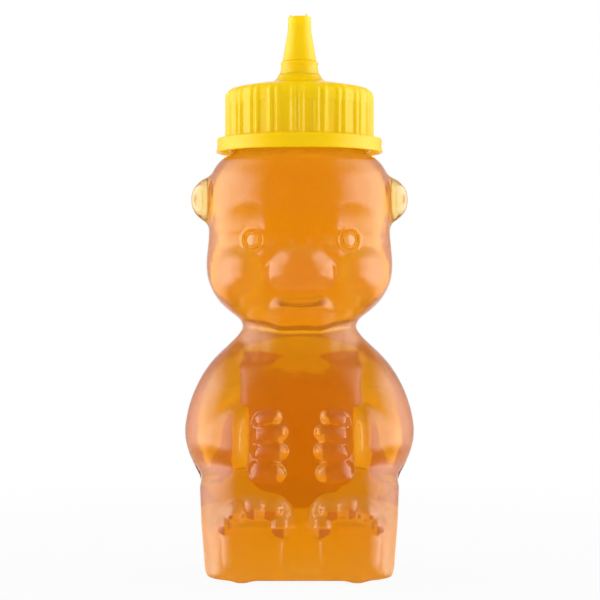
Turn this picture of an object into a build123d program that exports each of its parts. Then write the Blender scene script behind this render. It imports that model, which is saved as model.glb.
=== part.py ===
from build123d import *
import os

os.makedirs("parts", exist_ok=True)

# Driving dimensions of the bear, in millimetres
torso_width = 61.8
torso_depth = 45.0
waist_height = 66.8
leg_width = 53.0
leg_depth = 43.0
leg_height = 28.6
leg_corner_radius = 10.0
head_width = 50.2
head_depth = 46.6
head_height = 45.6
neck_overlap = 1.2

# Wall, floor and standing pads of the blown bottle
bottle_wall = 0.8
floor_wall = 1.8
pad_height = 0.7
pad_width = 4.8
pad_depth = 7.0
pad_spacing_x = 30.0
pad_spacing_y = 30.0
push_up_height = 0.9
push_up_radius = 9.0

# Screw finish of the neck
collar_radius = 18.7
collar_height = 0.9
neck_root_radius = 17.45
neck_bore_radius = 15.6
neck_height = 16.2
lip_chamfer = 0.4
thread_pitch = 4.23
thread_turns = 1.25
thread_depth = 1.0
thread_root_width = 2.0
thread_crest_width = 1.1
thread_bury = 0.25
thread_top_drop = 3.2
thread_radial_clearance = 0.15
thread_flank_clearance = 0.12

# Honey inside the bottle
honey_gap = 0.2
honey_drop = 9.0

# Sealing gasket under the cap's ceiling
gasket_thickness = 1.0
gasket_outer_radius = 18.2
gasket_inner_radius = 15.9
seal_gap = 0.05
catch_reach = 0.55
catch_height = 0.6

# Screw cap with its brim and ribs
skirt_radius = 19.65
shoulder_round = 2.6
panel_recess = 0.25
panel_top_drop = 4.6
skirt_end_rise = 0.4
ceiling_wall = 1.3
brim_radius = 22.5
brim_height = 3.9
brim_wall = 1.0
brim_top_wall = 1.1
brim_hollow = 0.35
brim_lip = 0.4
brim_edge_round = 0.6
brim_gap = 0.3
rib_pairs = 20
rib_height = 0.2
rib_width = 1.15
rib_spacing = 2.05
rib_top_drop = 1.3
rib_blank_depth = 2.0
rib_front_angle = -91.7

# Dome, spout and bead of the cap
dome_radius = 17.1
dome_rise = 1.6
dome_crown = 0.15
spout_foot_radius = 7.3
spout_flare_height = 1.8
spout_bottom_radius = 5.4
spout_height = 4.6
spout_top_radius = 4.86
spout_wall = 1.1
bead_height = 1.1
bead_stand_off = 0.3

# Pull-off tip cap over the nozzle
tip_height = 12.1
tip_bottom_radius = 4.6
tip_neck_height = 8.1
tip_neck_radius = 3.2
tip_top_radius = 3.1
tip_wall = 0.9
tip_top_wall = 1.2
tip_clearance = 0.08
tip_edge_round = 0.25
nozzle_top_gap = 0.6
nozzle_wall = 1.0

# Heights and radii worked out from the sizes above
shoulder_height = waist_height + head_height
neck_foot = shoulder_height + collar_height
neck_top = shoulder_height + neck_height
honey_level = neck_top - honey_drop
thread_rise = thread_pitch * thread_turns
neck_thread_start = neck_top - thread_top_drop - thread_rise
ceiling = neck_top + gasket_thickness + 2 * seal_gap
dome_edge_height = ceiling + ceiling_wall
shoulder_start = dome_edge_height - shoulder_round
spout_foot_height = dome_edge_height + dome_rise
bead_foot = spout_foot_height + spout_height
bead_top = bead_foot + bead_height
tip_neck = bead_top + tip_neck_height
tip_top = bead_top + tip_height
nozzle_top = tip_top - tip_top_wall - nozzle_top_gap
brim_bottom = neck_foot + brim_gap
brim_top = brim_bottom + brim_height
skirt_bottom = brim_bottom + skirt_end_rise
panel_top = dome_edge_height - panel_top_drop
rib_foot = brim_top - brim_top_wall / 2
panel_radius = skirt_radius - panel_recess
rib_radius = skirt_radius + rib_height
skirt_inner_radius = neck_root_radius + thread_depth + thread_radial_clearance
tip_inset = tip_wall + tip_clearance
nozzle_inset = tip_inset + nozzle_wall
overrun = waist_height / 2

# Elliptical sections of the torso with both arms: height, width and depth shares
torso_section_shares = (
    (0.32, 0.66, 0.78),
    (0.37, 0.79, 0.89),
    (0.402, 0.872, 0.935),
    (0.44, 0.915, 0.955),
    (0.49, 0.965, 0.97),
    (0.535, 0.991, 0.99),
    (0.585, 1.0, 1.0),
    (0.635, 0.988, 1.0),
    (0.70, 0.953, 0.99),
    (0.76, 0.902, 0.965),
    (0.82, 0.832, 0.92),
    (0.875, 0.742, 0.84),
    (0.925, 0.63, 0.74),
    (0.965, 0.54, 0.65),
    (0.994, 0.494, 0.605),
    (1.01, 0.465, 0.57),
    (1.025, 0.415, 0.51),
)

# Rounded oblong sections of the seated legs: height, width and depth shares
leg_section_shares = (
    (0.0, 0.938, 0.905),
    (0.15, 0.956, 0.94),
    (0.30, 0.967, 0.968),
    (0.62, 0.989, 1.0),
    (0.86, 1.0, 0.995),
    (0.96, 0.985, 0.97),
    (1.0, 0.93, 0.91),
)

# Elliptical sections of the head above the waist: height, width, front depth and back depth shares
head_section_shares = (
    (-0.061, 0.49, 0.49, 0.48),
    (-0.035, 0.55, 0.55, 0.53),
    (-0.009, 0.60, 0.605, 0.585),
    (0.011, 0.612, 0.63, 0.605),
    (0.029, 0.618, 0.655, 0.625),
    (0.064, 0.688, 0.73, 0.695),
    (0.099, 0.768, 0.81, 0.77),
    (0.134, 0.838, 0.865, 0.83),
    (0.206, 0.930, 0.935, 0.945),
    (0.276, 0.982, 0.975, 1.005),
    (0.346, 1.0, 0.985, 1.04),
    (0.41, 0.997, 0.975, 1.055),
    (0.469, 0.986, 0.945, 1.06),
    (0.509, 0.978, 0.905, 1.06),
    (0.561, 0.972, 0.905, 1.06),
    (0.632, 0.974, 0.96, 1.055),
    (0.706, 0.978, 1.0, 1.04),
    (0.805, 0.974, 0.995, 1.015),
    (0.879, 0.957, 0.96, 0.975),
    (0.923, 0.928, 0.93, 0.93),
    (0.961, 0.885, 0.895, 0.895),
    (1.0, 0.80, 0.85, 0.85),
)

# Swellings of the head: name, place shares, half size shares, tilt in degrees, and whether mirrored
head_swelling_shares = (
    ("snout", (0.0, -0.45, 0.255), (0.58, 0.59, 0.235), 0, False),
    ("muzzle", (0.0, -0.715, 0.325), (0.40, 0.41, 0.14), 0, False),
    ("lower_lip", (0.0, -0.73, 0.15), (0.33, 0.32, 0.078), 0, False),
    ("jaw", (0.0, -0.42, 0.165), (0.60, 0.54, 0.19), 0, False),
    ("cheek", (0.515, -0.34, 0.305), (0.45, 0.56, 0.23), 0, True),
    ("eye", (0.50, -0.79, 0.50), (0.068, 0.078, 0.037), 0, True),
    ("ear", (0.912, 0.02, 0.75), (0.262, 0.15, 0.143), 0, True),
)

# Swellings of the torso, arms, hands, legs and feet, in the same form
torso_swelling_shares = (
    ("upper_arm", (0.53, -0.345, 0.74), (0.305, 0.505, 0.16), 16, True),
    ("forearm", (0.595, -0.42, 0.525), (0.36, 0.465, 0.122), 0, True),
    ("palm", (0.275, -0.76, 0.54), (0.185, 0.315, 0.15), 0, True),
    ("thumb_side", (0.385, -0.86, 0.555), (0.06, 0.17, 0.09), 0, True),
    ("first_finger", (0.26, -0.88, 0.655), (0.115, 0.19, 0.040), 20, True),
    ("second_finger", (0.215, -0.90, 0.592), (0.135, 0.20, 0.041), 0, True),
    ("third_finger", (0.215, -0.90, 0.518), (0.135, 0.20, 0.046), 0, True),
    ("fourth_finger", (0.278, -0.885, 0.43), (0.15, 0.19, 0.045), 0, True),
    ("foot", (0.372, -0.62, 0.172), (0.325, 0.48, 0.198), 0, True),
    ("sole", (0.388, -0.76, 0.12), (0.265, 0.31, 0.146), 0, True),
    ("first_toe", (0.185, -0.88, 0.238), (0.118, 0.21, 0.061), -30, True),
    ("second_toe", (0.32, -0.91, 0.292), (0.106, 0.19, 0.053), -8, True),
    ("third_toe", (0.434, -0.90, 0.303), (0.088, 0.175, 0.047), 6, True),
    ("fourth_toe", (0.544, -0.865, 0.289), (0.084, 0.17, 0.043), 20, True),
    ("fifth_toe", (0.634, -0.77, 0.245), (0.072, 0.165, 0.037), 35, True),
)

# A swelling thinner than this is solid plastic, so neither the hollow nor the honey has it
smallest_hollow_swelling = 3.4


def swellings(table, base_height, width, depth, height, inset):
    """Rounded masses of one part of the body, each smaller by the inset."""
    shapes = []
    for _name, place, half_size_shares, tilt, mirrored in table:
        half_x = half_size_shares[0] * width / 2
        half_y = half_size_shares[1] * depth / 2
        half_z = half_size_shares[2] * height
        if inset > 0 and min(half_x, half_y, half_z) < smallest_hollow_swelling:
            continue
        with BuildPart() as ball:
            Sphere(1)
            scale(by=(half_x - inset, half_y - inset, half_z - inset))
        for side in (-1, 1) if mirrored else (1,):
            center = (side * place[0] * width / 2, place[1] * depth / 2, base_height + place[2] * height)
            shapes.append(Pos(*center) * Rot(0, side * tilt, 0) * ball.part)
    return shapes


def bear_form(inset, bottom):
    """The bear from the bottom up to the neck's foot, drawn in by the inset."""
    masses = swellings(torso_swelling_shares, 0, torso_width, torso_depth, waist_height, inset)
    masses += swellings(head_swelling_shares, waist_height, head_width, head_depth, head_height, inset)
    with BuildPart() as form:
        for height_share, width_share, depth_share in leg_section_shares:
            with BuildSketch(Plane.XY.offset(pad_height + height_share * (leg_height - pad_height - inset))):
                RectangleRounded(
                    width_share * leg_width - 2 * inset,
                    depth_share * leg_depth - 2 * inset,
                    leg_corner_radius - inset,
                )
        loft()
        for height_share, width_share, depth_share in torso_section_shares:
            with BuildSketch(Plane.XY.offset(height_share * waist_height)):
                Ellipse(width_share * torso_width / 2 - inset, depth_share * torso_depth / 2 - inset)
        loft()
        for height_share, width_share, front_share, back_share in head_section_shares:
            section_height = waist_height + height_share * head_height
            section_shift = (back_share - front_share) * head_depth / 4
            section_depth = (back_share + front_share) * head_depth / 4
            with BuildSketch(Plane((0, section_shift, section_height))):
                Ellipse(section_depth - inset, width_share * head_width / 2 - inset, rotation=90)
        loft()
        add(masses)
        split(bisect_by=Plane.XY.offset(bottom), keep=Keep.TOP)
        split(bisect_by=Plane.XY.offset(shoulder_height - inset), keep=Keep.BOTTOM)
    return form.part


def thread_rib(radius, start_height, reach, root_width, crest_width):
    """A screw thread of trapezoid section, buried a little in the wall that carries it."""
    root = -thread_bury if reach > 0 else thread_bury
    with BuildPart() as rib:
        with BuildLine() as path:
            Helix(thread_pitch, thread_rise, radius, center=(0, 0, start_height))
        with BuildSketch(Plane(origin=path.line @ 0, x_dir=(1, 0, 0), z_dir=path.line % 0)):
            with BuildLine():
                Polyline(
                    (root, -root_width / 2),
                    (0, -root_width / 2),
                    (reach, -crest_width / 2),
                    (reach, crest_width / 2),
                    (0, root_width / 2),
                    (root, root_width / 2),
                    close=True,
                )
            make_face()
        sweep(path=path.line, is_frenet=True)
    return rib.part


# Clear blown bottle in the shape of a sitting bear, with its screw neck
outer_form = bear_form(0, pad_height)
hollow_form = bear_form(bottle_wall, pad_height + floor_wall)
neck_thread = thread_rib(
    neck_root_radius, neck_thread_start, thread_depth, thread_root_width, thread_crest_width
)
with BuildPart() as bottle:
    add(outer_form)
    with BuildSketch(Plane.XY):
        with GridLocations(pad_spacing_x, pad_spacing_y, 2, 2):
            Ellipse(pad_width / 2, pad_depth / 2)
    extrude(amount=2 * pad_height)
    with BuildSketch(Plane.XY.offset(shoulder_height - neck_overlap)):
        Circle(collar_radius)
    extrude(amount=collar_height + neck_overlap)
    with BuildSketch(Plane.XY.offset(neck_foot)):
        Circle(neck_root_radius)
    extrude(amount=neck_top - neck_foot)
    chamfer(bottle.edges().group_by(Axis.Z)[-1], lip_chamfer)
    add(neck_thread)
    add(hollow_form, mode=Mode.SUBTRACT)
    with BuildSketch(Plane.XY.offset(shoulder_height - 2 * neck_overlap)):
        Circle(neck_bore_radius)
    extrude(amount=neck_height + overrun, mode=Mode.SUBTRACT)
    with BuildSketch(Plane.XZ):
        with BuildLine():
            push_up_arc = ThreePointArc(
                (-push_up_radius, pad_height), (0, pad_height + push_up_height), (push_up_radius, pad_height)
            )
            Line(push_up_arc @ 1, push_up_arc @ 0)
        make_face()
        split(bisect_by=Plane.YZ)
    revolve(axis=Axis.Z, mode=Mode.SUBTRACT)
bottle.part.label = "bottle"
export_step(bottle.part, "parts/bottle.step")

# Honey that fills the bottle up into the neck
honey_form = bear_form(bottle_wall + honey_gap, pad_height + floor_wall + honey_gap)
with BuildPart() as honey:
    add(honey_form)
    with BuildSketch(Plane.XY.offset(shoulder_height - 2 * neck_overlap)):
        Circle(neck_bore_radius - honey_gap)
    extrude(amount=honey_level - shoulder_height + 2 * neck_overlap)
honey.part.label = "honey"
export_step(honey.part, "parts/honey.step")

# Sealing gasket between the neck's lip and the cap's ceiling
with BuildPart() as gasket:
    with BuildSketch(Plane.XY.offset(neck_top + seal_gap)):
        Circle(gasket_outer_radius)
        Circle(gasket_inner_radius, mode=Mode.SUBTRACT)
    extrude(amount=gasket_thickness)
gasket.part.label = "gasket"
export_step(gasket.part, "parts/gasket.step")


def drum(radius, bottom):
    """A solid drum with the cap's rounded shoulder, up to the dome's edge."""
    with BuildPart() as body:
        with BuildSketch(Plane.XZ):
            with BuildLine():
                Polyline((0, dome_edge_height), (0, bottom), (radius, bottom), (radius, shoulder_start))
                EllipticalCenterArc(
                    (dome_radius, shoulder_start),
                    radius - dome_radius,
                    shoulder_round,
                    start_angle=0,
                    arc_size=90,
                )
                Line((dome_radius, dome_edge_height), (0, dome_edge_height))
            make_face()
        revolve(axis=Axis.Z)
    return body.part


# Narrow upright ribs in pairs round the skirt, trimmed to the rounded shoulder
rib_envelope = drum(rib_radius, skirt_bottom)
with BuildPart() as ribs:
    with BuildSketch(Plane.XY.offset(rib_foot)):
        with PolarLocations(skirt_radius, rib_pairs, start_angle=rib_front_angle):
            with Locations((0, rib_spacing / 2), (0, -rib_spacing / 2)):
                Rectangle(rib_blank_depth, rib_width)
    extrude(amount=dome_edge_height - rib_top_drop - rib_foot)
    add(rib_envelope, mode=Mode.INTERSECT)

# Thread inside the cap, lying just under the bottle's thread
cap_thread_drop = thread_pitch - (thread_root_width + thread_crest_width) / 2 - thread_flank_clearance
cap_thread = thread_rib(
    skirt_inner_radius,
    neck_thread_start - cap_thread_drop,
    -thread_depth,
    thread_root_width,
    thread_crest_width,
)

# Yellow screw cap with its ribbed skirt, brim, dome, spout and nozzle
upper_drum = drum(skirt_radius, panel_top)
with BuildPart() as cap:
    with BuildSketch(Plane.XY.offset(skirt_bottom)):
        Circle(panel_radius)
    extrude(amount=panel_top - skirt_bottom)
    add(upper_drum)
    with BuildSketch(Plane.XZ):
        with BuildLine():
            Polyline(
                (0, bead_top),
                (0, shoulder_start),
                (dome_radius, shoulder_start),
                (dome_radius, dome_edge_height),
            )
            ThreePointArc(
                (dome_radius, dome_edge_height),
                ((dome_radius + spout_foot_radius) / 2, dome_edge_height + dome_rise / 2 + dome_crown),
                (spout_foot_radius, spout_foot_height),
            )
            Spline(
                (spout_foot_radius, spout_foot_height),
                (spout_bottom_radius, spout_foot_height + spout_flare_height),
                tangents=[
                    (spout_foot_radius - dome_radius, dome_rise),
                    (spout_top_radius - spout_bottom_radius, spout_height - spout_flare_height),
                ],
            )
            Line((spout_bottom_radius, spout_foot_height + spout_flare_height), (spout_top_radius, bead_foot))
            ThreePointArc(
                (spout_top_radius, bead_foot),
                (spout_top_radius + bead_stand_off, bead_foot + bead_height / 2),
                (tip_bottom_radius, bead_top),
            )
            Line((tip_bottom_radius, bead_top), (0, bead_top))
        make_face()
    revolve(axis=Axis.Z)
    with BuildSketch(Plane.XZ):
        with BuildLine():
            Polyline(
                (0, nozzle_top),
                (0, bead_foot),
                (tip_bottom_radius - tip_inset, bead_foot),
                (tip_bottom_radius - tip_inset, bead_top),
                (tip_neck_radius - tip_inset, tip_neck),
                (tip_top_radius - tip_inset, nozzle_top),
                close=True,
            )
        make_face()
    revolve(axis=Axis.Z)
    with BuildSketch(Plane.XZ):
        with BuildLine():
            brim_face = ThreePointArc(
                (brim_radius - brim_hollow / 2, brim_top - brim_edge_round),
                (brim_radius - brim_hollow, brim_bottom + brim_height / 2),
                (brim_radius, brim_bottom + brim_lip),
            )
            Polyline(
                brim_face @ 1,
                (brim_radius, brim_bottom),
                (brim_radius - brim_wall, brim_bottom),
                (brim_radius - brim_wall - brim_hollow / 2, brim_top - brim_top_wall),
                (panel_radius - brim_wall / 2, brim_top - brim_top_wall),
                (panel_radius - brim_wall / 2, brim_top),
                (brim_radius - brim_hollow / 2 - brim_edge_round, brim_top),
            )
            JernArc(
                start=(brim_radius - brim_hollow / 2 - brim_edge_round, brim_top),
                tangent=(1, 0),
                radius=brim_edge_round,
                arc_size=-90,
            )
        make_face()
    revolve(axis=Axis.Z)
    add(ribs.part)
    with BuildSketch(Plane.XZ):
        with BuildLine():
            Polyline(
                (0, skirt_bottom),
                (skirt_inner_radius, skirt_bottom),
                (skirt_inner_radius, ceiling),
                (gasket_inner_radius, ceiling),
                (spout_foot_radius, spout_foot_height - ceiling_wall),
                (spout_bottom_radius - spout_wall, spout_foot_height),
                (spout_top_radius - spout_wall, bead_foot),
                (tip_neck_radius - nozzle_inset, tip_neck),
                (tip_top_radius - nozzle_inset, nozzle_top),
                (0, nozzle_top),
                close=True,
            )
        make_face()
    revolve(axis=Axis.Z, mode=Mode.SUBTRACT)
    with BuildSketch(Plane.XZ):
        with BuildLine():
            Polyline(
                (skirt_inner_radius + thread_bury, neck_top - catch_height),
                (skirt_inner_radius, neck_top - catch_height),
                (skirt_inner_radius - catch_reach, neck_top - catch_height / 2),
                (skirt_inner_radius, neck_top),
                (skirt_inner_radius + thread_bury, neck_top),
                close=True,
            )
        make_face()
    revolve(axis=Axis.Z)
    add(cap_thread)
cap.part.label = "cap"
export_step(cap.part, "parts/cap.step")

# Pull-off tip cap that covers the nozzle
with BuildPart() as tip_cap:
    with BuildSketch(Plane.XZ):
        with BuildLine():
            Polyline(
                (0, tip_top),
                (0, bead_top + seal_gap),
                (tip_bottom_radius, bead_top + seal_gap),
                (tip_neck_radius, tip_neck),
                (tip_top_radius, tip_top - tip_edge_round),
                (tip_top_radius - tip_edge_round, tip_top),
                close=True,
            )
        make_face()
    revolve(axis=Axis.Z)
    with BuildSketch(Plane.XZ):
        with BuildLine():
            Polyline(
                (0, bead_top),
                (tip_bottom_radius - tip_wall, bead_top),
                (tip_neck_radius - tip_wall, tip_neck),
                (tip_top_radius - tip_wall, tip_top - tip_top_wall),
                (0, tip_top - tip_top_wall),
                close=True,
            )
        make_face()
    revolve(axis=Axis.Z, mode=Mode.SUBTRACT)
tip_cap.part.label = "tip_cap"
export_step(tip_cap.part, "parts/tip_cap.step")
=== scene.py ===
import math

import bpy
import numpy as np
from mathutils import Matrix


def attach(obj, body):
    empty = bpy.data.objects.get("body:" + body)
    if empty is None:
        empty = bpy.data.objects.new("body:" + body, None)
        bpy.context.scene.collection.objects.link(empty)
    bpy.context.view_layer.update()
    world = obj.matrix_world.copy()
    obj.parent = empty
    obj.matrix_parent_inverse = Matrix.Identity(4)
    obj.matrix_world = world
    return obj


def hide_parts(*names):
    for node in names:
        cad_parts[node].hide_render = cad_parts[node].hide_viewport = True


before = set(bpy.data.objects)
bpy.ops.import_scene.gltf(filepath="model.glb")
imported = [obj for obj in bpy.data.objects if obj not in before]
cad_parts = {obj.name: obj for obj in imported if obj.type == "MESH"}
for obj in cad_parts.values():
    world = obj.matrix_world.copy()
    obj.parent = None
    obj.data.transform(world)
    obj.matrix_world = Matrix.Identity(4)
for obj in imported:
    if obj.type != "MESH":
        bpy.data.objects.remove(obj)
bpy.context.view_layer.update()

# Camera: level with the bear's chest and far back, as for a catalogue picture on white.
# One picture pixel is 0.27 mm at the neck's axis, so the lens follows from the distance.
PIXEL = 0.00027
PICTURE_PIXELS = 600
AXIS_PIXEL_X = 299.5
SENSOR_WIDTH = 36
CAMERA_DISTANCE = 0.526
CAMERA_HEIGHT = 0.074
NEAREST_SEEN = 0.01
WALL_BOUNCES = 24
CLEAR_BOUNCES = 48

camera_data = bpy.data.cameras.new("camera")
camera_data.sensor_width = SENSOR_WIDTH
camera_data.lens = SENSOR_WIDTH * CAMERA_DISTANCE / (PIXEL * PICTURE_PIXELS)
camera_data.clip_start = NEAREST_SEEN
camera = bpy.data.objects.new("camera", camera_data)
bpy.context.scene.collection.objects.link(camera)
camera_side = (PICTURE_PIXELS / 2 - AXIS_PIXEL_X) * PIXEL
camera.location = (camera_side, -CAMERA_DISTANCE, CAMERA_HEIGHT)
camera.rotation_euler = (math.radians(90), 0, 0)
bpy.context.scene.camera = camera
bpy.context.scene.view_settings.view_transform = "Standard"
bpy.context.scene.cycles.max_bounces = WALL_BOUNCES
bpy.context.scene.cycles.transmission_bounces = WALL_BOUNCES
bpy.context.scene.cycles.transparent_max_bounces = CLEAR_BOUNCES

# Studio: a white surround with two tall, soft light screens that stand left and right of the
# bottle. The room behind the camera is dim, so the bear's front reflects only the screens.
# Light levels round the bottle, by the angle in degrees from the camera's side, seen from above:
SCREEN_LIGHT = (
    (180, 0.30), (164, 0.18), (146, 0.15), (124, 0.60), (109, 0.95), (96, 1.0), (85, 0.93),
    (75, 0.79), (66, 0.57), (57, 0.35), (49, 0.12), (41, 0.02), (0, 0.0),
)
SCREEN_STRENGTH = 3.5
SCREEN_FADE_START = 0.4
SCREEN_FADE_END = 0.92
ABOVE_SCREENS = 0.15
BELOW_SHARE = -1.6
THROUGH_WALL_SHARE = 1.2
WHITE_THROUGH_WALL = 1.4
ROOM_LEVEL = 0.9


def linear_colour(hex_colour):
    """A hex colour as a screen shows it, turned to the linear values that shaders take."""
    channels = [int(hex_colour[i:i + 2], 16) / 255 for i in (1, 3, 5)]
    return [c / 12.92 if c <= 0.04045 else ((c + 0.055) / 1.055) ** 2.4 for c in channels] + [1.0]


def add_node(tree, kind, settings=None, **links):
    """One shader node with its settings and links.

    A setting is an attribute of the node, or else a socket by name or number. A link is given
    by its socket's name, with _ for a space, or by i and its number.
    """
    node = tree.nodes.new(kind)
    for name, value in (settings or {}).items():
        if isinstance(name, str) and hasattr(node, name):
            setattr(node, name, value)
        else:
            node.inputs[name].default_value = value
    for name, socket in links.items():
        numbered = name[0] == "i" and name[1:].isdigit()
        tree.links.new(socket, node.inputs[int(name[1:]) if numbered else name.replace("_", " ")])
    return node


def new_material(name):
    """A material with an empty node tree and its output node."""
    material = bpy.data.materials.new(name)
    material.use_nodes = True
    material.node_tree.nodes.clear()
    output = material.node_tree.nodes.new("ShaderNodeOutputMaterial")
    return material, material.node_tree, output


WHITE = linear_colour("#FFFFFF")
world = bpy.data.worlds.new("studio")
bpy.context.scene.world = world
world.use_nodes = True
tree = world.node_tree
tree.nodes.clear()
world_out = tree.nodes.new("ShaderNodeOutputWorld")
light_path = add_node(tree, "ShaderNodeLightPath")
direction = add_node(tree, "ShaderNodeTexCoord")
compass = add_node(tree, "ShaderNodeSeparateXYZ", i0=direction.outputs["Generated"])
across = add_node(tree, "ShaderNodeCombineXYZ", i0=compass.outputs["X"], i1=compass.outputs["Y"])
level = add_node(tree, "ShaderNodeVectorMath", {"operation": "NORMALIZE"}, i0=across.outputs[0])
turned = add_node(tree, "ShaderNodeSeparateXYZ", i0=level.outputs[0])
toward = add_node(tree, "ShaderNodeMapRange",
                  {"From Min": -1.0, "From Max": 1.0, "To Min": 1.0, "To Max": 0.0},
                  i0=turned.outputs["Y"])
screens = add_node(tree, "ShaderNodeValToRGB", i0=toward.outputs[0])
screens.color_ramp.interpolation = "B_SPLINE"
for number, (angle, share) in enumerate(SCREEN_LIGHT):
    place = (1 + math.cos(math.radians(angle))) / 2
    if number in (0, len(SCREEN_LIGHT) - 1):
        stop = screens.color_ramp.elements[0 if number == 0 else -1]
        stop.position = place
    else:
        stop = screens.color_ramp.elements.new(place)
    stop.color = (share, share, share, 1)
below = add_node(tree, "ShaderNodeMath", {"operation": "MULTIPLY", 1: BELOW_SHARE},
                 i0=compass.outputs["Z"])
steep = add_node(tree, "ShaderNodeMath", {"operation": "MAXIMUM"},
                 i0=compass.outputs["Z"], i1=below.outputs[0])
height = add_node(tree, "ShaderNodeMapRange",
                  {"interpolation_type": "SMOOTHSTEP",
                   "From Min": SCREEN_FADE_START, "From Max": SCREEN_FADE_END,
                   "To Min": SCREEN_STRENGTH, "To Max": ABOVE_SCREENS},
                  i0=steep.outputs[0])
reflected = add_node(tree, "ShaderNodeMath", {"operation": "MULTIPLY"},
                     i0=screens.outputs[0], i1=height.outputs[0])
softer = add_node(tree, "ShaderNodeMath", {"operation": "MULTIPLY", 1: THROUGH_WALL_SHARE},
                  i0=reflected.outputs[0])
around = add_node(tree, "ShaderNodeMath", {"operation": "MAXIMUM", 1: WHITE_THROUGH_WALL},
                  i0=softer.outputs[0])
room = add_node(tree, "ShaderNodeMath", {"operation": "MAXIMUM", 1: ROOM_LEVEL},
                i0=reflected.outputs[0])
turned_back = add_node(tree, "ShaderNodeMix", {"data_type": "FLOAT"},
                       i0=light_path.outputs["Is Glossy Ray"],
                       A=room.outputs[0], B=reflected.outputs[0])
lighting = add_node(tree, "ShaderNodeMix", {"data_type": "FLOAT"},
                    i0=light_path.outputs["Is Transmission Ray"],
                    A=turned_back.outputs[0], B=around.outputs[0])
shown = add_node(tree, "ShaderNodeMix", {"data_type": "FLOAT", "B": 1.0},
                 i0=light_path.outputs["Is Camera Ray"], A=lighting.outputs[0])
surround = add_node(tree, "ShaderNodeBackground", {"Color": WHITE}, Strength=shown.outputs[0])
tree.links.new(surround.outputs[0], world_out.inputs["Surface"])

# Floor: a round sheet of white board that the bottle stands on, faded out at its rim so that
# no edge shows against the surround.
FLOOR_RADIUS = 0.32
FLOOR_FADE_START = 0.12
FLOOR_WHITE_SHARE = 0.93

bpy.ops.mesh.primitive_circle_add(vertices=96, radius=FLOOR_RADIUS, fill_type="NGON")
floor = bpy.context.object
floor.name = "floor"
# Matt white board: it shows as white with the faint shadow of the bottle on it.
material, tree, output = new_material("white_floor")
painted = add_node(tree, "ShaderNodeBsdfDiffuse", {"Color": linear_colour("#D0D0D0")})
lit = add_node(tree, "ShaderNodeEmission", {"Color": WHITE, "Strength": 1.0})
light_path = add_node(tree, "ShaderNodeLightPath")
seen = add_node(tree, "ShaderNodeMath", {"operation": "MAXIMUM"},
                i0=light_path.outputs["Is Camera Ray"],
                i1=light_path.outputs["Is Transmission Ray"])
share = add_node(tree, "ShaderNodeMath", {"operation": "MULTIPLY", 1: FLOOR_WHITE_SHARE},
                 i0=seen.outputs[0])
mixed = add_node(tree, "ShaderNodeMixShader",
                 i0=share.outputs[0], i1=painted.outputs[0], i2=lit.outputs[0])
place = add_node(tree, "ShaderNodeTexCoord")
reach = add_node(tree, "ShaderNodeVectorMath", {"operation": "LENGTH"},
                 i0=place.outputs["Object"])
faded = add_node(tree, "ShaderNodeMapRange",
                 {"interpolation_type": "SMOOTHSTEP",
                  "From Min": FLOOR_FADE_START, "From Max": FLOOR_RADIUS,
                  "To Min": 0.0, "To Max": 1.0},
                 i0=reach.outputs["Value"])
open_air = add_node(tree, "ShaderNodeBsdfTransparent", {"Color": WHITE})
laid = add_node(tree, "ShaderNodeMixShader",
                i0=faded.outputs[0], i1=mixed.outputs[0], i2=open_air.outputs[0])
tree.links.new(laid.outputs[0], output.inputs["Surface"])
floor.data.materials.append(material)
floor.visible_glossy = False

# Bottle: one piece of clear PET, blown in a mould in the shape of a sitting bear with soft
# creases. Its wall is about 0.8 mm thick, and only the neck with its screw thread is thicker.
# The strokes and places of its relief are in millimetres, heights from the floor.
MM = 0.001
MIDDLE = 0.4  # The bear's middle line is that far right of the neck's axis.
WALL = 0.8 * MM
NECK_TOP = 128.6 * MM
NECK_BORE = 15.6 * MM
NECK_CUT = 113.8 * MM
BODY_CUT = 113.5 * MM
PLUG_RADIUS = 16.4 * MM
PLUG_DEPTH = 3 * MM
SKIN_CELL = 0.9 * MM
INNER_CELL = 1.2 * MM
NECK_CELL = 0.42 * MM
HONEY_LEVEL = 119.6 * MM
REFINED_FRONT = -8  # Only the front nearer than this gets finer cells,
SOFTENED_FRONT = -3  # and only the front nearer than this is softened.


def edit_alone(piece, select_mode):
    """Opens edit mode on one piece alone, in the given select mode."""
    bpy.ops.object.select_all(action="DESELECT")
    piece.select_set(True)
    bpy.context.view_layer.objects.active = piece
    bpy.ops.object.mode_set(mode="EDIT")
    bpy.ops.mesh.select_mode(type=select_mode)


def copied_node(node_name, piece_name):
    """A merged copy of a CAD node's mesh as the start of a piece."""
    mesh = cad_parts[node_name].data.copy()
    mesh.name = piece_name
    mesh.materials.clear()
    piece = bpy.data.objects.new(piece_name, mesh)
    bpy.context.scene.collection.objects.link(piece)
    edit_alone(piece, "VERT")
    bpy.ops.mesh.select_all(action="SELECT")
    bpy.ops.mesh.remove_doubles(threshold=1e-6)
    bpy.ops.object.mode_set(mode="OBJECT")
    return piece


def copied_piece(piece, name):
    """A second piece with its own copy of the mesh."""
    copy = bpy.data.objects.new(name, piece.data.copy())
    copy.data.name = name
    bpy.context.scene.collection.objects.link(copy)
    return copy


def add_modifier(piece, kind, **settings):
    """A modifier with its settings, applied at once."""
    bpy.context.view_layer.objects.active = piece
    modifier = piece.modifiers.new(kind.lower(), kind)
    for name, value in settings.items():
        setattr(modifier, name, value)
    bpy.ops.object.modifier_apply(modifier=modifier.name)


def remesh(piece, cell, smoothings):
    """Even cells of one size all over, and then as many smoothings as given."""
    add_modifier(piece, "REMESH", mode="VOXEL", voxel_size=cell, use_smooth_shade=True)
    add_modifier(piece, "SMOOTH", factor=0.5, iterations=smoothings)


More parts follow.
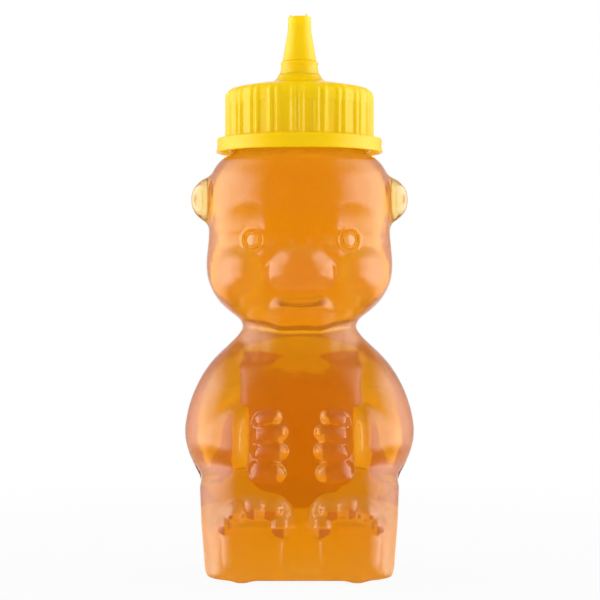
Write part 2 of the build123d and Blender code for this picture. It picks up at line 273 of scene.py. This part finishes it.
def cut_away(piece, height, upper, fill=False):
    """Cuts a piece level at a height, and takes away what is above, or else what is below."""
    edit_alone(piece, "VERT")
    bpy.ops.mesh.select_all(action="SELECT")
    bpy.ops.mesh.bisect(plane_co=(0, 0, height), plane_no=(0, 0, 1 if upper else -1),
                        clear_outer=True, use_fill=fill)
    bpy.ops.object.mode_set(mode="OBJECT")


def joined(pieces):
    """The pieces joined into the first one."""
    bpy.ops.object.select_all(action="DESELECT")
    for piece in pieces:
        piece.select_set(True)
    bpy.context.view_layer.objects.active = pieces[0]
    bpy.ops.object.join()
    return pieces[0]


def shade_smooth(piece):
    """Soft shading all over a piece."""
    for face in piece.data.polygons:
        face.use_smooth = True


def points_of(piece):
    """The vertices of a piece as an array of rows, in millimetres."""
    flat = np.empty(len(piece.data.vertices) * 3)
    piece.data.vertices.foreach_get("co", flat)
    return flat.reshape(-1, 3) / MM


def set_points(piece, points):
    """Puts the vertices where the rows say, in millimetres."""
    piece.data.vertices.foreach_set("co", (points * MM).ravel())
    piece.data.update()


def eased(value, low, high):
    """0 below low, 1 above high and a soft step between."""
    share = np.clip((value - low) / (high - low), 0, 1)
    return share * share * (3 - 2 * share)


def in_front(place, low, high, front):
    """Whether a place lies between two corners (distance from the middle, height) in front."""
    x, y, z = place / MM
    return low[0] < abs(x - MIDDLE) < high[0] and low[1] < z < high[1] and y < front


def refine(piece, low, high):
    """Halves the cells of the front between two corners, on both sides."""
    edit_alone(piece, "FACE")
    bpy.ops.mesh.select_all(action="DESELECT")
    bpy.ops.object.mode_set(mode="OBJECT")
    for face in piece.data.polygons:
        face.select = in_front(face.center, low, high, REFINED_FRONT)
    bpy.ops.object.mode_set(mode="EDIT")
    bpy.ops.mesh.subdivide(number_cuts=1)
    bpy.ops.object.mode_set(mode="OBJECT")


def soften(piece, low, high, repeat):
    """Smooths the front between two corners, on both sides."""
    edit_alone(piece, "VERT")
    bpy.ops.mesh.select_all(action="DESELECT")
    bpy.ops.object.mode_set(mode="OBJECT")
    for vertex in piece.data.vertices:
        vertex.select = in_front(vertex.co, low, high, SOFTENED_FRONT)
    bpy.ops.object.mode_set(mode="EDIT")
    bpy.ops.mesh.vertices_smooth(factor=0.5, repeat=repeat)
    bpy.ops.object.mode_set(mode="OBJECT")


def sculpt(piece, strokes, power=1.0, tall=1.0, keep_out=None):
    """Brush strokes on the front, the same left and right, that raise or sink the surface.

    A stroke is a line of points, each with its distance from the middle, its height, the
    brush's radius and how far it raises the surface. Where strokes meet, the stronger one
    counts. A higher power gives the brush a softer rim. A brush may be taller or lower than
    it is wide, and keep_out keeps the strokes off the middle.
    """
    points = points_of(piece)
    out, height = np.abs(points[:, 0] - MIDDLE), points[:, 2]
    raised = np.zeros(len(points))
    for stroke in strokes:
        for start, end in zip(stroke[:-1] or stroke, stroke[1:] or stroke):
            along = np.array(end[:2]) - np.array(start[:2])
            length = max(float(along @ along), 1e-9)
            from_start = out - start[0], height - start[1]
            share = np.clip((from_start[0] * along[0] + from_start[1] * along[1]) / length, 0, 1)
            away = np.hypot(from_start[0] - share * along[0],
                            (from_start[1] - share * along[1]) / tall)
            radius = start[2] + share * (end[2] - start[2])
            strength = start[3] + share * (end[3] - start[3])
            lift = strength * np.clip(1 - (away / radius) ** 2, 0, 1) ** power
            raised = np.where(np.abs(lift) > np.abs(raised), lift, raised)
    raised *= eased(-points[:, 1], 0, 3)
    if keep_out:
        raised *= eased(out, *keep_out)
    points[:, 1] -= raised
    set_points(piece, points)


# The plain body is the back half of the CAD bottle and its mirror image, plugged at the neck.
# The neck itself keeps its own finer mesh, because of the thread.
bottle = copied_node("bottle", "bear_bottle")
neck = copied_piece(bottle, "neck")
cut_away(neck, NECK_CUT - MM, upper=False, fill=True)
remesh(neck, NECK_CELL, smoothings=2)
cut_away(neck, NECK_CUT, upper=False)
edit_alone(bottle, "VERT")
bpy.ops.mesh.select_all(action="SELECT")
bpy.ops.mesh.bisect(plane_co=(0, 0, 0), plane_no=(0, -1, 0), clear_outer=True)
bpy.ops.object.mode_set(mode="OBJECT")
add_modifier(bottle, "MIRROR", use_axis=(False, True, False), use_clip=True,
             merge_threshold=2e-6)
bpy.ops.mesh.primitive_cylinder_add(vertices=96, radius=PLUG_RADIUS, depth=PLUG_DEPTH,
                                    location=(0, 0, NECK_TOP - PLUG_DEPTH / 2))
bottle = joined([bottle, bpy.context.object])
remesh(bottle, SKIN_CELL, smoothings=8)

# Head: the face is flatter than the back of the head, and the ears are thick, round lobes.
FLATTER_FACE = 0.075
THICKER_EAR = 0.55
points = points_of(bottle)
lower_face = eased(points[:, 2], 66, 84) * (1 - eased(points[:, 2], 92, 108))
face_depth = points[:, 1] * (1 - FLATTER_FACE * lower_face)
points[:, 1] = np.where(points[:, 1] < 0, face_depth, points[:, 1])
ear = eased(np.abs(points[:, 0]), 24.6, 26.0) * (points[:, 2] > 90)
points[:, 1] *= 1 + THICKER_EAR * ear
set_points(bottle, points)

# Face: finer cells, then its relief from the forehead down.
EYE_OUT, EYE_HEIGHT = 12.65, 89.7
EYE_RING_RADIUS = 2.75
EYE_RING_STEPS = 16
BROW = [(4.0, 99.6, 8.0, 0.6), (10.0, 99.6, 9.0, 0.85), (17.0, 99.2, 9.5, 0.3)]
SOCKET = [(0, 92.6, 5.0, -1.0), (9.5, 92.4, 6.5, -1.4), (14.0, 92.4, 7.8, -2.4),
          (23.0, 90.4, 6.5, -1.8)]
SOCKET_CREASE = [(3.5, 89.5, 2.2, -0.5), (8.0, 89.5, 2.8, -0.9), (14.0, 89.5, 3.0, -1.1),
                 (22.5, 89.2, 3.0, -1.1)]
CHEEK = [(16.8, 80.4, 7.3, 3.2), (17.6, 79.2, 7.3, 3.0)]
MUZZLE_TOP = [(0, 85.2, 4.6, 3.0), (0.6, 83.6, 6.2, 3.8), (2.0, 81.0, 7.4, 4.0)]
MUZZLE = [(0, 81.0, 7.4, 4.0), (2.0, 81.0, 7.4, 4.0)]
CHIN = [(0, 70.6, 4.2, 2.0), (4.6, 70.6, 5.0, 2.8)]
UPPER_LIP = [(0, 74.2, 1.2, 0.45), (3.6, 74.3, 1.1, 0.3)]
LOWER_LIP = [(0, 72.0, 1.5, 0.45), (3.4, 72.3, 1.3, 0.3)]
MOUTH_LINE = [(0, 73.2, 0.6, -0.6), (2.6, 73.3, 0.5, -0.3)]
EYE_DISH = [(EYE_OUT, EYE_HEIGHT, 3.0, -0.7)]
EYE_RING = [(EYE_OUT + EYE_RING_RADIUS * math.cos(step * 2 * math.pi / EYE_RING_STEPS),
             EYE_HEIGHT + EYE_RING_RADIUS * math.sin(step * 2 * math.pi / EYE_RING_STEPS),
             0.75, 0.45) for step in range(EYE_RING_STEPS + 1)]
EYE_DOME = [(EYE_OUT, EYE_HEIGHT, 1.8, 2.1)]
refine(bottle, (0, 70), (16, 94))
refine(bottle, (9.5, 86.5), (15.5, 92.8))
refine(bottle, (0, 72), (4.5, 75))
sculpt(bottle, [BROW], power=1.2)
sculpt(bottle, [SOCKET], power=1.3)
sculpt(bottle, [SOCKET_CREASE], power=1.5)
sculpt(bottle, [CHEEK])
sculpt(bottle, [MUZZLE_TOP, MUZZLE], power=0.85, tall=0.74)
sculpt(bottle, [CHIN], power=1.5)
sculpt(bottle, [UPPER_LIP, LOWER_LIP])
sculpt(bottle, [MOUTH_LINE])
sculpt(bottle, [EYE_DISH])
sculpt(bottle, [EYE_RING])
sculpt(bottle, [EYE_DOME], power=0.55)

# Body: the band of the neck, the arms with the fold inside the elbow, and the hands, which lie
# flat on the belly with four fingers each.
NECK_BAND = [(0, 63.0, 4.0, -0.2), (7.0, 62.4, 4.2, -0.6), (11.0, 61.4, 4.4, -1.8),
             (14.5, 61.0, 4.6, -2.6)]
ARM_CREASE = [(16.4, 58.0, 1.6, -0.1), (16.2, 52.0, 1.8, -0.25), (15.8, 47.0, 1.8, -0.3)]
ARM = [(26.5, 51.5, 10.5, 3.2), (27.0, 45.0, 8.6, 2.6), (27.0, 37.2, 7.6, 1.4),
       (22.0, 37.0, 8.0, 2.8), (17.2, 36.8, 8.2, 3.5), (14.0, 36.8, 8.2, 3.5)]
PALM = [(9.6, 41.4, 3.6, 1.0), (9.2, 35.5, 4.4, 1.0), (9.6, 30.0, 4.4, 1.0)]
FINGERS = [
    [(10.4, 43.0, 2.0, 1.4), (7.2, 43.8, 2.2, 1.9)],
    [(10.6, 38.8, 2.2, 1.5), (5.9, 39.7, 2.5, 2.1)],
    [(10.6, 34.4, 2.2, 1.5), (5.8, 34.9, 2.6, 2.1)],
    [(11.0, 29.8, 2.8, 1.7), (6.6, 29.2, 2.8, 2.1)],
]
refine(bottle, (2, 25), (15.5, 46.5))
sculpt(bottle, [NECK_BAND], power=1.5)
sculpt(bottle, [ARM_CREASE], power=1.2)
sculpt(bottle, [ARM], power=0.9, tall=1.25, keep_out=(13.4, 17.0))
sculpt(bottle, [PALM], power=0.9)
sculpt(bottle, FINGERS, power=0.7)

# Legs: the thighs round off to the sides, and the feet show their soles with five toes each.
HIP = [(27.0, 26.0, 11.0, -3.0), (29.0, 14.0, 8.5, -2.2), (29.0, 3.0, 7.5, -1.8)]
SOLE = [
    [(17.6, 17.4, 4.2, 1.7), (12.6, 19.4, 4.9, 1.9), (7.6, 18.6, 5.0, 1.8),
     (6.8, 16.0, 4.8, 1.7)],
    [(14.6, 15.0, 6.2, 1.8), (14.6, 6.5, 5.8, 1.3)],
    [(10.4, 15.0, 6.0, 1.8), (10.6, 6.5, 5.8, 1.3)],
]
TOES = [[(20.2, 15.6, 2.3, 1.5)], [(16.9, 19.4, 2.8, 1.8)], [(11.8, 20.4, 3.1, 2.0)],
        [(7.2, 19.8, 2.5, 1.4)], [(5.0, 15.6, 2.8, 1.7)]]
refine(bottle, (1.5, 3), (21.5, 25))
sculpt(bottle, [HIP], power=1.4)
sculpt(bottle, SOLE, power=0.6)
sculpt(bottle, TOES, power=0.8)

# The jaw runs softly into the neck, and the arm's underside into the thigh.
soften(bottle, (-1, 64.5), (13.5, 70.0), repeat=8)
soften(bottle, (14.5, 25), (40, 34), repeat=30)

# Ears: the front of each is a shallow dish, higher than it is wide.
EAR_OUT, EAR_HEIGHT = 27.0, 101.2
EAR_DISH_WIDTH, EAR_DISH_HEIGHT, EAR_DISH_DEPTH = 1.6, 3.4, 0.9
points = points_of(bottle)
away = np.hypot((np.abs(points[:, 0]) - EAR_OUT) / EAR_DISH_WIDTH,
                (points[:, 2] - EAR_HEIGHT) / EAR_DISH_HEIGHT)
points[:, 1] += EAR_DISH_DEPTH * np.clip(1 - away ** 2, 0, 1) * (points[:, 1] < 0)
set_points(bottle, points)
add_modifier(bottle, "SMOOTH", factor=0.5, iterations=1)

# The inside follows the outside a wall's thickness in, and is as wide as the bore at its top.
# The honey fills the same form, so it starts here as a copy.
inner_wall = copied_piece(bottle, "inner_wall")
add_modifier(inner_wall, "REMESH", mode="VOXEL", voxel_size=INNER_CELL, use_smooth_shade=True)
add_modifier(inner_wall, "DISPLACE", strength=-WALL, mid_level=0, direction="NORMAL")
add_modifier(inner_wall, "SMOOTH", factor=0.5, iterations=3)
points = points_of(inner_wall)
from_axis = np.hypot(points[:, 0], points[:, 1])
bore = NECK_BORE / MM
wanted = np.where(points[:, 2] > 113.2, bore, np.minimum(from_axis, bore + 1))
in_neck = (points[:, 2] > 111.9) & (from_axis > 10)
points[:, :2] *= np.where(in_neck, wanted / np.maximum(from_axis, 1), 1)[:, None]
set_points(inner_wall, points)
honey = copied_piece(inner_wall, "honey_fill")
cut_away(inner_wall, BODY_CUT, upper=True)
cut_away(bottle, BODY_CUT, upper=True)
inner_wall.data.flip_normals()

# Clear blown PET: glossy and see-through, with the soft swells of the mould and fine upright
# ripples that make its highlights a little uneven. The eye domes are thicker, and a pale milky
# tint is painted into them as a painted highlight, so that they look bright.
RIPPLE_SIZE = 1.5 * MM
RIPPLE_STRETCH = 0.22
SWELL_SIZE = 7 * MM
UNEVEN_DEPTH = 0.035 * MM
# The eye domes' painted highlight: how much pale tint is mixed in, and where it fades to clear.
EYE_PAINTED_HIGHLIGHT_SHARE = 0.2
EYE_PAINTED_HIGHLIGHT_RADIUS = 1.35 * MM
EYE_CLEAR_RADIUS = 1.75 * MM
clear_pet, tree, output = new_material("clear_blown_pet")
place = add_node(tree, "ShaderNodeTexCoord")
drawn = add_node(tree, "ShaderNodeMapping", {"Scale": (1, 1, RIPPLE_STRETCH)},
                 Vector=place.outputs["Object"])
ripple = add_node(tree, "ShaderNodeTexNoise",
                  {"Scale": 1 / RIPPLE_SIZE, "Detail": 3.0, "Roughness": 0.6},
                  Vector=drawn.outputs[0])
swell = add_node(tree, "ShaderNodeTexNoise", {"Scale": 1 / SWELL_SIZE, "Detail": 1.0},
                 Vector=place.outputs["Object"])
both = add_node(tree, "ShaderNodeMath", {"operation": "MULTIPLY_ADD", 1: 6.0},
                i0=swell.outputs[0], i2=ripple.outputs[0])
uneven = add_node(tree, "ShaderNodeBump", {"Strength": 0.5, "Distance": UNEVEN_DEPTH},
                  Height=both.outputs[0])
gloss = add_node(tree, "ShaderNodeMapRange",
                 {"From Min": 0.35, "From Max": 0.65, "To Min": 0.06, "To Max": 0.11},
                 i0=swell.outputs[0])
clear = add_node(tree, "ShaderNodeBsdfPrincipled",
                 {"Base Color": WHITE, "IOR": 1.5, "Transmission Weight": 1.0},
                 Roughness=gloss.outputs[0], Normal=uneven.outputs[0])
from_eyes = add_node(tree, "ShaderNodeVectorMath",
                     {"operation": "SUBTRACT", 1: (MIDDLE * MM, 0, EYE_HEIGHT * MM)},
                     i0=place.outputs["Object"])
from_eyes = add_node(tree, "ShaderNodeSeparateXYZ", i0=from_eyes.outputs[0])
eye_side = add_node(tree, "ShaderNodeMath", {"operation": "ABSOLUTE"}, i0=from_eyes.outputs[0])
eye_side = add_node(tree, "ShaderNodeMath", {"operation": "SUBTRACT", 1: EYE_OUT * MM},
                    i0=eye_side.outputs[0])
behind = add_node(tree, "ShaderNodeMath", {"operation": "GREATER_THAN", 1: 0.0},
                  i0=from_eyes.outputs[1])
behind = add_node(tree, "ShaderNodeMath", {"operation": "MULTIPLY", 1: 10 * MM},
                  i0=behind.outputs[0])
from_eye = add_node(tree, "ShaderNodeCombineXYZ",
                    i0=eye_side.outputs[0], i1=behind.outputs[0], i2=from_eyes.outputs[2])
from_eye = add_node(tree, "ShaderNodeVectorMath", {"operation": "LENGTH"},
                    i0=from_eye.outputs[0])
eye = add_node(tree, "ShaderNodeMapRange",
               {"From Min": EYE_PAINTED_HIGHLIGHT_RADIUS, "From Max": EYE_CLEAR_RADIUS,
                "To Min": EYE_PAINTED_HIGHLIGHT_SHARE, "To Max": 0.0},
               i0=from_eye.outputs["Value"])
# Painted highlight: a pale tint on the eye domes that stands in for the light they catch.
painted_eye_highlight = add_node(tree, "ShaderNodeBsdfPrincipled",
                 {"Base Color": linear_colour("#F7CFA4"), "Roughness": 0.12})
wall = add_node(tree, "ShaderNodeMixShader",
                i0=eye.outputs[0], i1=clear.outputs[0], i2=painted_eye_highlight.outputs[0])
tree.links.new(wall.outputs[0], output.inputs["Surface"])

# PET wet with honey: honey and plastic bend light alike, so no gloss shows there, and only the
# honey's fine crystals make the face a little cloudy.
WETTED_HAZE = 0.22
HONEY_CLOUD = linear_colour("#FFFDF3")
wetted, tree, output = new_material("wetted_wall")
passing = add_node(tree, "ShaderNodeBsdfTransparent", {"Color": WHITE})
cloudy = add_node(tree, "ShaderNodeBsdfTranslucent", {"Color": HONEY_CLOUD})
surface = add_node(tree, "ShaderNodeMixShader", {0: WETTED_HAZE},
                   i1=passing.outputs[0], i2=cloudy.outputs[0])
tree.links.new(surface.outputs[0], output.inputs["Surface"])

# The outer wall, the neck and the inner wall become one closed skin, bridged below the thread.
OUTER_RIM = (16.6, 19.0)
INNER_RIM = (14.6, 16.5)
for piece in (bottle, neck, inner_wall):
    piece.data.materials.clear()
    piece.data.materials.append(clear_pet)
    piece.data.materials.append(wetted)
for face in inner_wall.data.polygons:
    face.material_index = 1
for face in neck.data.polygons:
    x, y, z = face.center
    if math.hypot(x, y) < NECK_BORE + 0.1 * MM and z < HONEY_LEVEL:
        face.material_index = 1
bottle = joined([bottle, neck, inner_wall])
for low, high in (OUTER_RIM, INNER_RIM):
    edit_alone(bottle, "EDGE")
    bpy.ops.mesh.select_all(action="DESELECT")
    bpy.ops.mesh.select_non_manifold()
    bpy.ops.object.mode_set(mode="OBJECT")
    for edge in bottle.data.edges:
        ends = [bottle.data.vertices[number].co / MM for number in edge.vertices]
        x, y, z = (ends[0] + ends[1]) / 2
        edge.select = edge.select and low < math.hypot(x, y) < high and 113 < z < 114.3
    bpy.ops.object.mode_set(mode="EDIT")
    bpy.ops.mesh.bridge_edge_loops()
    bpy.ops.object.mode_set(mode="OBJECT")
shade_smooth(bottle)
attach(bottle, "bottle_body")
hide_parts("bottle")

# Honey: clear amber honey, poured in to just above the bear's head, inside the neck. It touches
# the wall all round, so it reaches a little into it.
HONEY_OVERLAP = 0.05 * MM
add_modifier(honey, "DISPLACE", strength=HONEY_OVERLAP, mid_level=0, direction="NORMAL")
cut_away(honey, HONEY_LEVEL, upper=True, fill=True)
# Amber honey: its colour comes from its depth alone, golden where it is thin and redder where
# it is deep, and fine crystals in loose clouds make it a little hazy.
CRYSTAL_CLOUD = 5 * MM
HONEY_DENSITY = 150.0
material, tree, output = new_material("amber_honey")
place = add_node(tree, "ShaderNodeTexCoord")
crystals = add_node(tree, "ShaderNodeTexNoise", {"Scale": 1 / CRYSTAL_CLOUD, "Detail": 3.0},
                    Vector=place.outputs["Object"])
haze = add_node(tree, "ShaderNodeMapRange",
                {"From Min": 0.3, "From Max": 0.7, "To Min": 0.19, "To Max": 0.25},
                i0=crystals.outputs[0])
passing = add_node(tree, "ShaderNodeBsdfTransparent", {"Color": WHITE})
cloudy = add_node(tree, "ShaderNodeBsdfTranslucent", {"Color": HONEY_CLOUD})
surface = add_node(tree, "ShaderNodeMixShader",
                   i0=haze.outputs[0], i1=passing.outputs[0], i2=cloudy.outputs[0])
tree.links.new(surface.outputs[0], output.inputs["Surface"])
absorbed = add_node(tree, "ShaderNodeVolumeAbsorption",
                    {"Color": linear_colour("#FBE600"), "Density": HONEY_DENSITY})
tree.links.new(absorbed.outputs[0], output.inputs["Volume"])
honey.data.materials.append(material)
shade_smooth(honey)
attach(honey, "bottle_body")
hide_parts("honey")

# Label: a blank paper label stuck to the back, so it follows the wall there. Its shadow shows
# through the honey behind the belly.
LABEL_WIDTH = 22 * MM
LABEL_BOTTOM = 17 * MM
LABEL_TOP = 48.7 * MM
LABEL_THICKNESS = 0.1 * MM
GLUE_THICKNESS = 0.06 * MM
BEHIND_BOTTLE = 40 * MM
bpy.ops.mesh.primitive_grid_add(x_subdivisions=40, y_subdivisions=80, size=1,
                                location=(0, BEHIND_BOTTLE, (LABEL_BOTTOM + LABEL_TOP) / 2),
                                rotation=(math.radians(90), 0, 0))
label = bpy.context.object
label.name = "back_label"
label.scale = (LABEL_WIDTH, LABEL_TOP - LABEL_BOTTOM, 1)
bpy.ops.object.transform_apply(location=True, rotation=True, scale=True)
add_modifier(label, "SHRINKWRAP", target=bottle, wrap_method="PROJECT", use_project_y=True,
             use_negative_direction=True, use_positive_direction=False, offset=GLUE_THICKNESS)
add_modifier(label, "SOLIDIFY", thickness=LABEL_THICKNESS, offset=1)
# Uncoated label paper: matt and off-white with faint flecks of pulp, and thin enough on the
# wet wall for light to pass through it.
PULP_SIZE = 0.8 * MM
PULP_DEPTH = 0.02 * MM
# Sockets of a Mix node that mixes colours:
FIRST_COLOUR, SECOND_COLOUR, MIXED_COLOUR = 6, 7, 2
material, tree, output = new_material("label_paper")
place = add_node(tree, "ShaderNodeTexCoord")
pulp = add_node(tree, "ShaderNodeTexNoise", {"Scale": 1 / PULP_SIZE, "Detail": 4.0},
                Vector=place.outputs["Object"])
shade = add_node(tree, "ShaderNodeMix",
                 {"data_type": "RGBA", FIRST_COLOUR: linear_colour("#F5F2EA"),
                  SECOND_COLOUR: linear_colour("#E9E4D8")},
                 i0=pulp.outputs[0])
tooth = add_node(tree, "ShaderNodeBump", {"Strength": 0.4, "Distance": PULP_DEPTH},
                 Height=pulp.outputs[0])
face = add_node(tree, "ShaderNodeBsdfPrincipled", {"Roughness": 0.6},
                Base_Color=shade.outputs[MIXED_COLOUR], Normal=tooth.outputs[0])
glow = add_node(tree, "ShaderNodeBsdfTranslucent", {"Color": linear_colour("#F8F4EA")})
paper = add_node(tree, "ShaderNodeMixShader", {0: 0.5}, i1=face.outputs[0], i2=glow.outputs[0])
thin = add_node(tree, "ShaderNodeBsdfTransparent", {"Color": linear_colour("#FFE7CB")})
see_through = add_node(tree, "ShaderNodeMixShader", {0: 0.55},
                       i1=paper.outputs[0], i2=thin.outputs[0])
tree.links.new(see_through.outputs[0], output.inputs["Surface"])
label.data.materials.append(material)
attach(label, "bottle_body")

# Screw cap: one moulding of yellow low-density polyethylene, with pairs of upright ribs round
# its skirt, a wide brim, a low dome and the spout. It is screwed down on the neck's thread.
CAP_CELL = 0.36 * MM
SPOUT_RADIUS = 4.6
FLARE_RADIUS = 9.0
FLARE_HEIGHT = 1.3
SKIRT_RADIUS = 17.6
FIRST_PAIR_ANGLE = 91.7
PAIR_PITCH = 18
RIB_FROM_PAIR = 1.025
RIB_HALF_WIDTH = 0.75
RIB_EXTRA = 0.22

cap = copied_node("cap", "ribbed_cap")
remesh(cap, CAP_CELL, smoothings=2)
points = points_of(cap)
from_axis, height = np.hypot(points[:, 0], points[:, 1]), points[:, 2]
# The dome runs up softly into the spout.
at_spout = (height > 130.9) * (height < 134) * (from_axis > SPOUT_RADIUS)
flare = np.clip((FLARE_RADIUS - from_axis) / 4.0, 0, 1) ** 2 * at_spout
points[:, 2] += FLARE_HEIGHT * flare
# The ribs stand out a little more than the remeshed cap shows them.
turn = np.degrees(np.arctan2(points[:, 1], points[:, 0])) + FIRST_PAIR_ANGLE
from_pair = (turn + PAIR_PITCH / 2) % PAIR_PITCH - PAIR_PITCH / 2
from_rib = np.abs(np.abs(np.radians(from_pair) * from_axis) - RIB_FROM_PAIR)
on_skirt = eased(points[:, 2], 117.3, 118.3) * (1 - eased(points[:, 2], 130.3, 131.4))
rib = np.clip(1 - (from_rib / RIB_HALF_WIDTH) ** 2, 0, 1) * on_skirt
rib *= (from_axis > SKIRT_RADIUS) * RIB_EXTRA
points[:, :2] *= (1 + rib / np.maximum(from_axis, 1))[:, None]
set_points(cap, points)

# Moulded yellow low-density polyethylene: satin and a little waxy, because light passes into
# it, with a fine grain from the mould and slow shifts of tone where it flowed.
FLOW_SIZE = 9 * MM
GRAIN_SIZE = 0.5 * MM
GRAIN_DEPTH = 0.008 * MM
yellow_ldpe, tree, output = new_material("yellow_ldpe")
place = add_node(tree, "ShaderNodeTexCoord")
flow = add_node(tree, "ShaderNodeTexNoise", {"Scale": 1 / FLOW_SIZE, "Detail": 2.0},
                Vector=place.outputs["Object"])
tone = add_node(tree, "ShaderNodeMix",
                {"data_type": "RGBA", FIRST_COLOUR: linear_colour("#FFDE00"),
                 SECOND_COLOUR: linear_colour("#FFE500")},
                i0=flow.outputs[0])
grain = add_node(tree, "ShaderNodeTexNoise", {"Scale": 1 / GRAIN_SIZE, "Detail": 3.0},
                 Vector=place.outputs["Object"])
satin = add_node(tree, "ShaderNodeBump", {"Strength": 0.4, "Distance": GRAIN_DEPTH},
                 Height=grain.outputs[0])
dull = add_node(tree, "ShaderNodeMapRange", {"To Min": 0.14, "To Max": 0.26},
                i0=grain.outputs[0])
skin = add_node(tree, "ShaderNodeBsdfPrincipled", {"IOR": 1.51},
                Base_Color=tone.outputs[MIXED_COLOUR], Roughness=dull.outputs[0],
                Normal=satin.outputs[0])
glow = add_node(tree, "ShaderNodeBsdfTranslucent", {"Color": linear_colour("#FFEC00")})
soft = add_node(tree, "ShaderNodeMixShader", {0: 0.4}, i1=skin.outputs[0], i2=glow.outputs[0])
tree.links.new(soft.outputs[0], output.inputs["Surface"])
cap.data.materials.append(yellow_ldpe)
shade_smooth(cap)
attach(cap, "screw_cap")
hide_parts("cap")

# Tip cap: a hollow cone of the same yellow plastic that is pushed over the nozzle, down to the
# spout's bead. Three thin wisps of flash stand on its rim, where the mould closed.
TIP_CELL = 0.2 * MM
# Each wisp: its place across and in depth, its height and its radius.
WISPS = ((-2.5, -1.4, 0.5, 0.35), (1.9, -1.9, 0.75, 0.3), (3.5, -0.6, 0.9, 0.3))

tip = copied_node("tip_cap", "spout_tip_cap")
remesh(tip, TIP_CELL, smoothings=1)
points = points_of(tip)
for x, y, high, width in WISPS:
    away = np.hypot(points[:, 0] - x, points[:, 1] - y)
    at_top = eased(points[:, 2], 149.6, 150.2)
    points[:, 2] += high * np.clip(1 - (away / width) ** 2, 0, 1) * at_top
set_points(tip, points)
tip.data.materials.append(yellow_ldpe)
shade_smooth(tip)
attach(tip, "spout_tip")
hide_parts("tip_cap")

# Gasket: a ring cut from a sheet of white closed-cell foam. It lies loose under the cap's
# ceiling, and the neck's lip presses it when the cap is down.
CELL_SIZE = 0.35 * MM
CELL_DEPTH = 0.05 * MM
# White polyethylene foam: matt, with small closed cells that dent the surface and shade it.
foam, tree, output = new_material("white_pe_foam")
place = add_node(tree, "ShaderNodeTexCoord")
cells = add_node(tree, "ShaderNodeTexVoronoi", {"Scale": 1 / CELL_SIZE},
                 Vector=place.outputs["Object"])
dents = add_node(tree, "ShaderNodeBump", {"Strength": 0.6, "Distance": CELL_DEPTH},
                 Height=cells.outputs[0])
shade = add_node(tree, "ShaderNodeMix",
                 {"data_type": "RGBA", FIRST_COLOUR: linear_colour("#F6F5F0"),
                  SECOND_COLOUR: linear_colour("#E6E4DC")},
                 i0=cells.outputs[0])
sponge = add_node(tree, "ShaderNodeBsdfPrincipled", {"Roughness": 0.75},
                  Base_Color=shade.outputs[MIXED_COLOUR], Normal=dents.outputs[0])
tree.links.new(sponge.outputs[0], output.inputs["Surface"])
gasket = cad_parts["gasket"]
gasket.data.materials.clear()
gasket.data.materials.append(foam)
